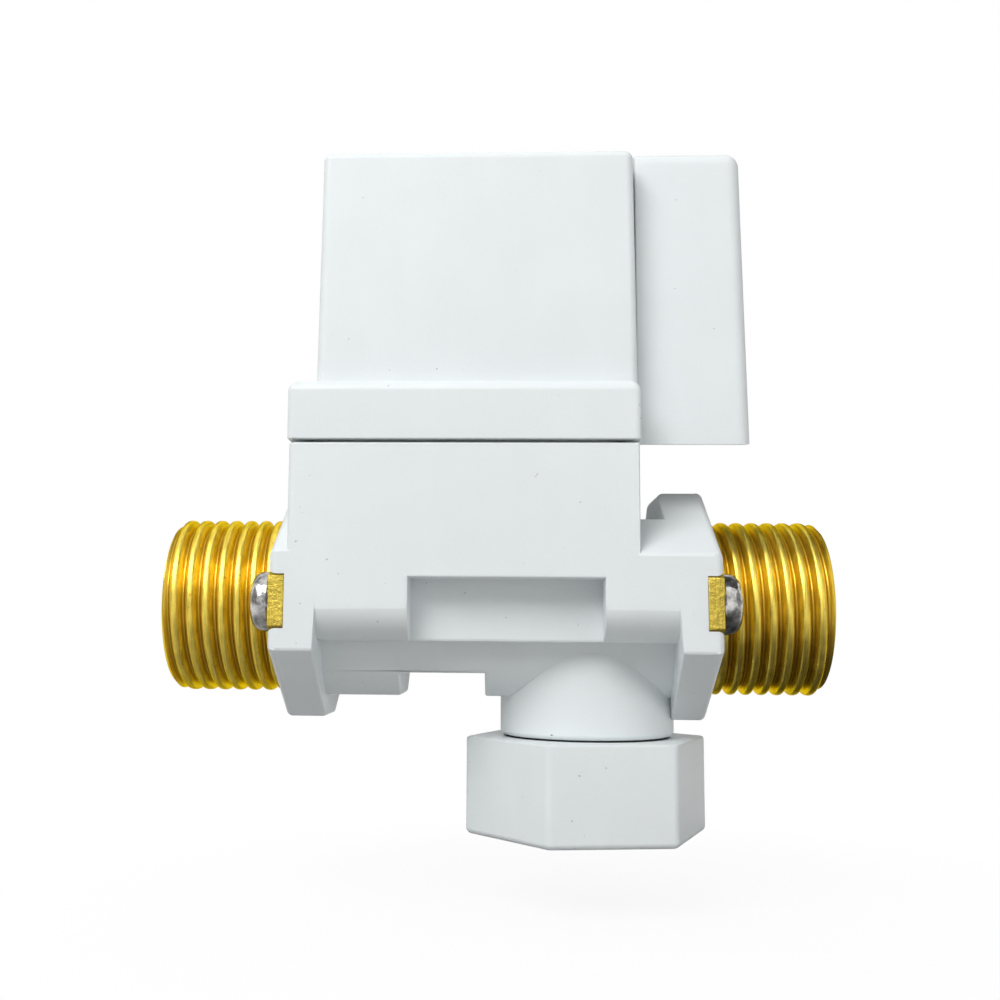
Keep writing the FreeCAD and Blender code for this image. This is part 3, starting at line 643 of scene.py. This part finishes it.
def dress(node, material):
    """A CAD node that stays gets its finish."""
    mesh = nodes[node].data
    mesh.materials.clear()
    mesh.materials.append(material)


def middle_of(edge):
    return (edge.verts[0].co + edge.verts[1].co) / 2


def from_pipe(point):
    """How far a point is from the X axis."""
    return math.hypot(point.y, point.z)


def turn_to_outlet(bm):
    """Turns what stands at the inlet half round the pipe's middle, to the outlet."""
    half_turn = (Matrix.Translation(pipe_middle)
                 @ Matrix.Rotation(math.pi, 4, "Z")
                 @ Matrix.Translation(-pipe_middle))
    bmesh.ops.transform(bm, matrix=half_turn, verts=bm.verts)


def cut_across(bm, x, verts, edges, faces, inner=False):
    """Cuts a mesh across X and clears its outer side, or its inner one."""
    bmesh.ops.bisect_plane(bm, geom=verts + edges + faces, dist=same_point,
                           plane_co=(x, 0, 0), plane_no=(1, 0, 0),
                           clear_inner=inner, clear_outer=not inner)


def cut_tube(bm, x):
    """Cuts a tube off across X, and gives the radii of its wall at the cut."""
    cut_across(bm, x, bm.verts[:], bm.edges[:], bm.faces[:])
    radii = [from_pipe(vert.co) for vert in bm.verts if vert.is_boundary]
    return max(radii), min(radii)


def open_loop(bm, x, low_radius, high_radius=math.inf):
    """The open edges near a plane across X, within a range of radii."""
    found = []
    for edge in bm.edges:
        centre = middle_of(edge)
        in_range = low_radius < from_pipe(centre) < high_radius
        if edge.is_boundary and abs(centre.x - x) < 10 * near_point and in_range:
            found.append(edge)
    return found


def ring(bm, x, radius, steps):
    """A circle of edges round the X axis."""
    made = bmesh.ops.create_circle(bm, cap_ends=False, radius=radius, segments=steps)
    turn = Matrix.Translation((x, 0.0, 0.0)) @ lie_along_x
    bmesh.ops.transform(bm, matrix=turn, verts=made["verts"])
    return list({edge for vert in made["verts"] for edge in vert.link_edges})


def thread_profile(crest, depth):
    """One pitch of a thread, root to root: straight flanks, rounded root and crest."""
    rise = ((0.0, 0.0), (0.06, 0.03), (0.10, 0.12), (0.26, 0.78), (0.30, 0.88),
            (0.36, 0.96), (0.43, 0.99), (0.5, 1.0))
    fall = tuple((1.0 - along, up) for along, up in rise[-2:0:-1])
    return [(along, crest - depth * (1.0 - up)) for along, up in rise + fall]


def add_thread(bm, start, end, pitch, crest, depth, collar, chamfer, steps, clock=0.0):
    """A right-hand thread round the X axis, which rises out of a collar at its start."""
    profile = thread_profile(crest, depth)
    turns = math.ceil((end - start) / pitch) + 2
    known = set(bm.verts)

    def fresh():
        return [vert for vert in bm.verts if vert not in known]

    line = [bm.verts.new((start + (turn - 1 + along) * pitch, 0.0, radius))
            for turn in range(turns) for along, radius in profile]
    line.append(bm.verts.new((start + (turns - 1) * pitch, 0.0, profile[0][1])))
    edges = [bm.edges.new(pair) for pair in zip(line, line[1:])]
    bmesh.ops.spin(bm, geom=line + edges, cent=(0, 0, 0), axis=(1, 0, 0), angle=math.tau,
                   dvec=(pitch / steps, 0, 0), steps=steps, use_merge=False)
    bmesh.ops.remove_doubles(bm, verts=fresh(), dist=near_point)
    for plane, inner in ((start, True), (end, False)):
        verts = fresh()
        edges = list({edge for vert in verts for edge in vert.link_edges})
        faces = list({face for vert in verts for face in vert.link_faces})
        cut_across(bm, plane, verts, edges, faces, inner)
    turn = Matrix.Rotation(clock, 3, "X")
    bmesh.ops.rotate(bm, cent=(0, 0, 0), matrix=turn, verts=fresh())
    run_in = 0.9 * pitch
    for vert in fresh():
        radius = from_pipe(vert.co)
        grown = min(1.0, (vert.co.x - start) / run_in)
        eased = grown * grown * (3 - 2 * grown)
        wanted = min(collar + (radius - collar) * eased,
                     crest - chamfer + max(0.0, end - vert.co.x))
        vert.co.y *= wanted / radius
        vert.co.z *= wanted / radius


def close_threaded_end(bm, cut, start, end, bore, bore_chamfer, steps):
    """Joins the cut end of a tube, its thread, the end face and the bore."""
    in_wall = bore * 1.08
    mouth_rim = bore + bore_chamfer
    collar = open_loop(bm, cut, in_wall)
    bmesh.ops.bridge_loops(bm, edges=collar + open_loop(bm, start, in_wall))
    rim = ring(bm, end, mouth_rim, steps)
    bmesh.ops.triangle_fill(bm, use_beauty=True, use_dissolve=False, normal=(1.0, 0.0, 0.0),
                            edges=open_loop(bm, end, mouth_rim) + rim)
    mouth = ring(bm, end - bore_chamfer, bore, steps)
    bmesh.ops.bridge_loops(bm, edges=rim + mouth)
    bmesh.ops.bridge_loops(bm, edges=mouth + open_loop(bm, cut, 0.0, in_wall))
    bmesh.ops.recalc_face_normals(bm, faces=bm.faces)


# Operators

class VALVE_OT_mouldings(Operator):
    """Round the edges of the moulded body and covers and give them their plastic"""
    bl_idname = "valve.mouldings"
    bl_label = "Body and covers"

    def shows_on_body(self, edge):
        """Whether an edge of the body is outside its water ways, chamber, seat and pockets."""
        waterway_radius = 7.5 * millimetre
        chamber_radius = 8.0 * millimetre
        seat_radius = 14.2 * millimetre
        seat_foot = 8.0 * millimetre
        pocket_start = 22.5 * millimetre
        centre = middle_of(edge)
        in_waterway = from_pipe(centre) <= waterway_radius
        in_chamber = (centre - cap_axis).xy.length < chamber_radius
        in_seat = (centre - coil_axis).xy.length < seat_radius and centre.z > seat_foot
        in_pocket = abs(centre.x - pipe_middle.x) > pocket_start
        return not (in_waterway or in_chamber or in_seat or in_pocket)

    def execute(self, context):
        sizes = context.scene.valve_mouldings
        colours = context.scene.valve_colours
        plastic = finish_named("white_plastic", white_plastic, colours.plastic)

        bm = merged_copy("valve_body")
        round_edges(bm, sizes.body_edge, self.shows_on_body)
        axes = ((cap_axis, Vector((0, 0, 1))), (pipe_middle, Vector((1, 0, 0))))
        piece = finished_piece("moulded_body", bm, plastic, axes=axes)
        seat(piece, "valve", "white_plastic", "valve_body")

        bm = merged_copy("coil_cover")
        foot = cover_low.z + 0.1 * millimetre
        round_edges(bm, sizes.cover_edge, lambda edge: middle_of(edge).z < foot)
        piece = finished_piece("moulded_coil_cover", bm, plastic)
        seat(piece, "valve", "white_plastic", "coil_cover")

        bm = merged_copy("terminal_cover")
        round_edges(bm, sizes.cover_edge, lambda edge: True, least_angle=50.0)
        piece = finished_piece("moulded_terminal_cover", bm, plastic)
        seat(piece, "terminal_cover", "white_plastic", "terminal_cover")
        return {"FINISHED"}


class VALVE_OT_strainer_cap(Operator):
    """Build the hexagonal strainer cap with the thread on its spigot"""
    bl_idname = "valve.strainer_cap"
    bl_label = "Strainer cap"

    def execute(self, context):
        sizes = context.scene.valve_mouldings
        thread = context.scene.valve_threads
        colours = context.scene.valve_colours
        plastic = finish_named("white_plastic", white_plastic, colours.plastic)
        hexagon_inside = 10.5 * millimetre
        bm = merged_copy("strainer_cap")
        round_edges(bm, sizes.cap_edge,
                    lambda edge: middle_of(edge).z > seal_low.z
                    and (middle_of(edge) - cap_axis).xy.length > hexagon_inside)
        lay_down = lie_along_x @ Matrix.Translation(-cap_axis)
        bmesh.ops.transform(bm, matrix=lay_down, verts=bm.verts)
        cut = seal_high.z + 0.1 * millimetre
        start = cut + 0.3 * millimetre
        spigot, bore = cut_tube(bm, cut)
        add_thread(bm, start, cap_high.z, thread.cap_pitch, spigot, thread.cap_depth,
                   collar=spigot - thread.cap_depth, chamfer=0.4 * millimetre,
                   steps=thread.turn_steps)
        close_threaded_end(bm, cut, start, cap_high.z, bore, bore_chamfer=0.25 * millimetre,
                           steps=thread.turn_steps)
        bmesh.ops.transform(bm, matrix=lay_down.inverted(), verts=bm.verts)
        piece = finished_piece("hexagonal_cap", bm, plastic)
        seat(piece, "strainer_cap", "white_plastic", "strainer_cap")
        return {"FINISHED"}


class VALVE_OT_nipples(Operator):
    """Build the two threaded brass nipples with their end flanges"""
    bl_idname = "valve.nipples"
    bl_label = "Brass nipples"

    def execute(self, context):
        sizes = context.scene.valve_mouldings
        thread = context.scene.valve_threads
        colours = context.scene.valve_colours
        brass = finish_named("brass", threaded_brass, colours.brass, colours.brass_dark,
                             crest=thread.pipe_crest, depth=thread.pipe_depth)
        plate_face = screws_high.x - context.scene.valve_screws.head_height
        ear_end = 16.0 * millimetre
        cut = plate_face + 0.25 * millimetre
        start = plate_face + 0.35 * millimetre
        port = nipple_high.x

        def on_plate(edge):
            centre = middle_of(edge)
            return abs(centre.x - plate_face) < 0.1 * millimetre or abs(centre.y) > ear_end

        for end, clock in (("inlet", thread.inlet_clock), ("outlet", thread.outlet_clock)):
            bm = merged_copy("inlet_nipple")
            collar, bore = cut_tube(bm, cut)
            round_edges(bm, sizes.plate_edge, on_plate, least_angle=50.0)
            add_thread(bm, start, port, thread.pipe_pitch, thread.pipe_crest,
                       thread.pipe_depth, collar, chamfer=0.75 * millimetre,
                       steps=thread.turn_steps, clock=clock)
            close_threaded_end(bm, cut, start, port, bore, bore_chamfer=0.5 * millimetre,
                               steps=thread.turn_steps)
            if end == "outlet":
                turn_to_outlet(bm)
            piece = finished_piece(end + "_brass_nipple", bm, brass, smooth_angle=40.0)
            seat(piece, "valve", "brass", end + "_nipple")
        return {"FINISHED"}


class VALVE_OT_flange_screws(Operator):
    """Build the four flange screws with pan heads and cross recesses"""
    bl_idname = "valve.flange_screws"
    bl_label = "Flange screws"

    def outline(self, sizes, head_radius, length, top):
        """Radius and height from the screw's point, up the shank and over its round head."""
        side = 0.26 * top
        crown_turn = math.radians(65)
        crown_rings = 8
        squareness = 0.72
        shank = sizes.shank_radius
        profile = [(0.0, -length), (0.55 * shank, -length), (shank, -length + shank),
                   (shank, 0.0), (0.96 * head_radius, 0.0), (head_radius, 0.07 * top)]
        for k in range(crown_rings):
            angle = crown_turn * k / (crown_rings - 1)
            rise = (math.sin(angle) / math.sin(crown_turn)) ** squareness
            profile.append((head_radius * math.cos(angle) ** squareness,
                            side + (top - side) * rise))
        return profile

    def sink_recess(self, bm, sizes, top):
        """Closes the crown of a head with a cross recess that narrows as it goes down."""
        narrowing = 0.72
        crown = [edge for edge in bm.edges if edge.is_boundary]
        arm = sizes.recess_width / 2
        reach = sizes.recess_reach
        corner = [(reach, -arm), (reach, arm), (arm, arm)]
        cross = []
        for quarter in range(4):
            turn = Matrix.Rotation(math.radians(90) * quarter, 2)
            cross += [turn @ Vector(point) for point in corner]
        brim = [bm.verts.new((x, y, top)) for x, y in cross]
        rim = [bm.edges.new((a, b)) for a, b in zip(brim, brim[1:] + brim[:1])]
        bmesh.ops.bridge_loops(bm, edges=crown + rim)
        sunk = bmesh.ops.extrude_edge_only(bm, edges=rim)["geom"]
        low = [item for item in sunk if isinstance(item, bmesh.types.BMVert)]
        bmesh.ops.scale(bm, vec=(narrowing, narrowing, 1.0), verts=low)
        bmesh.ops.translate(bm, vec=(0, 0, -sizes.recess_depth), verts=low)
        bmesh.ops.contextual_create(bm, geom=[item for item in sunk
                                              if isinstance(item, bmesh.types.BMEdge)
                                              and item.is_boundary])
        bmesh.ops.recalc_face_normals(bm, faces=bm.faces)

    def screw(self, sizes, head_radius, length):
        """One screw along +Z with the underside of its head at the origin."""
        top = 0.95 * sizes.head_height
        bm = bmesh.new()
        line = [bm.verts.new((radius, 0.0, z))
                for radius, z in self.outline(sizes, head_radius, length, top)]
        edges = [bm.edges.new(pair) for pair in zip(line, line[1:])]
        bmesh.ops.spin(bm, geom=line + edges, cent=(0, 0, 0), axis=(0, 0, 1), angle=math.tau,
                       steps=48, use_merge=True)
        bmesh.ops.remove_doubles(bm, verts=bm.verts, dist=near_point)
        self.sink_recess(bm, sizes, top)
        return bm

    def execute(self, context):
        sizes = context.scene.valve_screws
        # The screw heads' strong dark blotches are partly handling marks and partly painted dark
        # reflections.
        steel = finish_named("screw_heads", plated_steel, context.scene.valve_colours.screw,
                             smooth=0.09, rough=0.20, dents=0.6, stain=0.25)
        head_radius = (screws_high.z - screws_low.z) / 2
        spread_y = screws_high.y - head_radius
        seat_x = screws_high.x - sizes.head_height
        length = seat_x - screws_low.x
        for end in ("inlet", "outlet"):
            pair = bmesh.new()
            for side, cross_turn in ((-1, 0.35), (1, -0.6)):
                one = self.screw(sizes, head_radius, length)
                place = (Matrix.Translation((seat_x, side * spread_y, 0.0))
                         @ lie_along_x @ Matrix.Rotation(cross_turn, 4, "Z"))
                bmesh.ops.transform(one, matrix=place, verts=one.verts)
                kept = bpy.data.meshes.new("one_screw")
                one.to_mesh(kept)
                one.free()
                pair.from_mesh(kept)
                bpy.data.meshes.remove(kept)
            if end == "outlet":
                turn_to_outlet(pair)
            piece = finished_piece(end + "_flange_screws", pair, steel, smooth_angle=40.0)
            seat(piece, "valve", "screw_steel", end + "_screws")
        return {"FINISHED"}


class VALVE_OT_inner_parts(Operator):
    """Give the seals, the coil and the moving parts inside their finishes"""
    bl_idname = "valve.inner_parts"
    bl_label = "Seals and inner parts"

    def execute(self, context):
        colours = context.scene.valve_colours
        faint_dents = {"dents": 0.06, "stain": 0.8}
        finishes = {
            finish_named("black_rubber", soft_rubber, colours.rubber):
                ("inlet_gasket", "outlet_gasket", "cap_seal", "diaphragm", "core_tube_seal",
                 "plunger_seal"),
            finish_named("white_plastic", white_plastic, colours.plastic):
                ("bonnet", "diaphragm_insert"),
            finish_named("screw_steel", plated_steel, colours.screw, smooth=0.14, rough=0.26,
                         **faint_dents):
                ("bonnet_screws", "plunger_spring", "yoke_washer", "yoke_nut",
                 "coil_terminals"),
            finish_named("steel_strip", plated_steel, colours.strip, smooth=0.28, rough=0.42,
                         **faint_dents):
                ("coil_yoke",),
            finish_named("magnet_iron", turned_steel, colours.iron):
                ("core_tube", "fixed_core", "plunger"),
            finish_named("copper_wire", wound_wire, colours.copper): ("coil_winding",),
            finish_named("bobbin_nylon", moulded_nylon, colours.bobbin, grain_scale=2600.0):
                ("coil_bobbin",),
            finish_named("screen_nylon", moulded_nylon, colours.screen, grain_scale=3400.0):
                ("strainer_screen",),
        }
        for material, names in finishes.items():
            for node in names:
                dress(node, material)
        return {"FINISHED"}


class VALVE_OT_stage(Operator):
    """Set the pale floor, the soft lamps, the grey cards, the surroundings and the camera"""
    bl_idname = "valve.stage"
    bl_label = "Studio"

    def floor(self, studio, foot):
        bm = bmesh.new()
        bmesh.ops.create_circle(bm, cap_ends=True, radius=studio.floor_radius, segments=96)
        bmesh.ops.translate(bm, vec=foot, verts=bm.verts)
        floor = finished_piece("floor", bm, paper_white("paper_white", studio.floor_drop))

    def card(self, name, reflected_glow, width, height, place, facing):
        """A card that only reflections see."""
        bm = bmesh.new()
        bmesh.ops.create_grid(bm, x_segments=2, y_segments=2, size=0.5)
        bmesh.ops.scale(bm, vec=(width, height, 1.0), verts=bm.verts)
        turned = Vector(facing).to_track_quat("Z", "Y").to_matrix().to_4x4()
        bmesh.ops.transform(bm, matrix=Matrix.Translation(place) @ turned, verts=bm.verts)
        card = finished_piece(name, bm, reflected_glow)
        card.visible_camera = False
        card.visible_diffuse = False
        card.visible_shadow = False
        card.visible_transmission = False

    def cards(self, studio, foot):
        """The glowing cards for painted reflections: floor, both sides, behind, and over the
        right end.
        """
        white_card = 0.9
        above_floor = 0.00001
        # The cards glow at the brightness given and paint reflections in the metal.
        floor = reflection_glow("floor_reflection_glow", studio.floor_card, white_card)
        side = reflection_glow("side_reflection_glow", studio.side_card, studio.side_card)
        back = reflection_glow("back_reflection_glow", studio.back_card, studio.back_card)
        for name, reflected_glow, width, height, offset, facing in (
                ("floor_card", floor, 0.90, 0.56, (0.00, -0.23, above_floor), (0, 0, 1)),
                ("side_card", side, 0.44, 0.30, (-0.40, -0.20, 0.15), (1, 0, 0)),
                ("side_card", side, 0.44, 0.30, (0.40, -0.20, 0.15), (-1, 0, 0)),
                ("back_card", back, 0.26, 0.34, (-0.26, 0.34, 0.17), (0.6, -1, 0)),
                ("back_card", back, 0.26, 0.34, (0.26, 0.34, 0.17), (-0.6, -1, 0)),
                ("roof_card", back, 0.50, 0.56, (0.30, 0.12, 0.44), (0, 0, -1))):
            self.card(name, reflected_glow, width, height, foot + Vector(offset), facing)

    def soft_lamp(self, name, power, size, place, aim):
        """A round lamp that looks at a point."""
        data = bpy.data.lights.new(name, "AREA")
        data.energy = power
        data.shape = "DISK"
        data.size = size
        lamp = bpy.data.objects.new(name, data)
        bpy.context.scene.collection.objects.link(lamp)
        lamp.location = place
        lamp.rotation_mode = "QUATERNION"
        lamp.rotation_quaternion = (aim - place).to_track_quat("-Z", "Y")

    def lamps(self, studio):
        """The three lamps round the valve."""
        middle = pipe_middle + Vector((0.0, 0.0, 12.0 * millimetre))
        for name, power, size, offset in (
                ("key_lamp", studio.key_power, 0.40, (-0.22, -0.40, 0.40)),
                ("fill_lamp", studio.fill_power, 0.40, (0.48, -0.24, -0.01)),
                ("top_lamp", studio.top_power, 0.30, (0.05, 0.10, 0.50))):
            self.soft_lamp(name, power, size, middle + Vector(offset), middle)

    def surroundings(self, scene, ambient):
        """Even light from all round, which is white where it is seen."""
        world = bpy.data.worlds.new("white_room")
        scene.world = world
        world.use_nodes = True
        tree = world.node_tree
        background = tree.nodes["Background"]
        background.inputs["Color"].default_value = (1.0, 1.0, 1.0, 1.0)
        tree.links.new(spread(tree, seen_directly(tree), 0.0, 1.0, ambient, 1.0),
                       background.inputs["Strength"])

    def camera(self, scene, studio):
        """The camera, which sees the valve as the photograph does."""
        data = bpy.data.cameras.new("camera")
        data.lens = studio.camera_lens
        data.sensor_width = 36.0
        data.shift_x = studio.camera_shift
        data.clip_start = 0.01
        data.clip_end = 20.0
        camera = bpy.data.objects.new("camera", data)
        scene.collection.objects.link(camera)
        yaw = studio.camera_yaw
        pitch = studio.camera_pitch
        roll = studio.camera_roll
        ahead = Vector((-math.sin(yaw) * math.cos(pitch), math.cos(yaw) * math.cos(pitch),
                        math.sin(pitch)))
        level = Vector((math.cos(yaw), math.sin(yaw), 0.0))
        above = level.cross(ahead)
        right = level * math.cos(roll) + above * math.sin(roll)
        up = above * math.cos(roll) - level * math.sin(roll)
        turned = Matrix((right, up, -ahead)).transposed().to_4x4()
        stands_at = pipe_middle + Vector((studio.camera_side, -studio.camera_distance,
                                          studio.camera_height))
        camera.matrix_world = Matrix.Translation(stands_at) @ turned
        scene.camera = camera

    def execute(self, context):
        scene = context.scene
        studio = scene.valve_studio
        foot = Vector((pipe_middle.x, 0.0, cad_box[0].z - studio.floor_drop))
        self.floor(studio, foot)
        self.lamps(studio)
        self.cards(studio, foot)
        self.surroundings(scene, studio.ambient)
        self.camera(scene, studio)
        scene.view_settings.view_transform = "Standard"
        return {"FINISHED"}


class VALVE_PT_panel(Panel):
    """The valve's pieces and sizes"""
    bl_idname = "VALVE_PT_panel"
    bl_label = "Water valve"
    bl_space_type = "VIEW_3D"
    bl_region_type = "UI"
    bl_category = "Water valve"

    def draw(self, context):
        layout = self.layout
        for operator in OPERATORS:
            layout.operator(operator.bl_idname)
        for group in GROUPS:
            box = layout.box()
            settings = getattr(context.scene, group)
            for name in settings.__annotations__:
                box.prop(settings, name)


GROUPS = {
    "valve_threads": ThreadSizes,
    "valve_mouldings": MouldingSizes,
    "valve_screws": ScrewSizes,
    "valve_colours": FinishColours,
    "valve_studio": StudioSettings,
}
OPERATORS = (VALVE_OT_mouldings, VALVE_OT_strainer_cap, VALVE_OT_nipples,
             VALVE_OT_flange_screws, VALVE_OT_inner_parts, VALVE_OT_stage)


def register():
    for group in GROUPS.values():
        bpy.utils.register_class(group)
    for name, group in GROUPS.items():
        setattr(bpy.types.Scene, name, PointerProperty(type=group))
    for operator in OPERATORS:
        bpy.utils.register_class(operator)
    bpy.utils.register_class(VALVE_PT_panel)


def unregister():
    bpy.utils.unregister_class(VALVE_PT_panel)
    for operator in reversed(OPERATORS):
        bpy.utils.unregister_class(operator)
    for name, group in GROUPS.items():
        delattr(bpy.types.Scene, name)
        bpy.utils.unregister_class(group)


def main():
    register()
    bpy.ops.valve.mouldings()
    bpy.ops.valve.strainer_cap()
    bpy.ops.valve.nipples()
    bpy.ops.valve.flange_screws()
    bpy.ops.valve.inner_parts()
    bpy.ops.valve.stage()


if __name__ == "__main__":
    main()
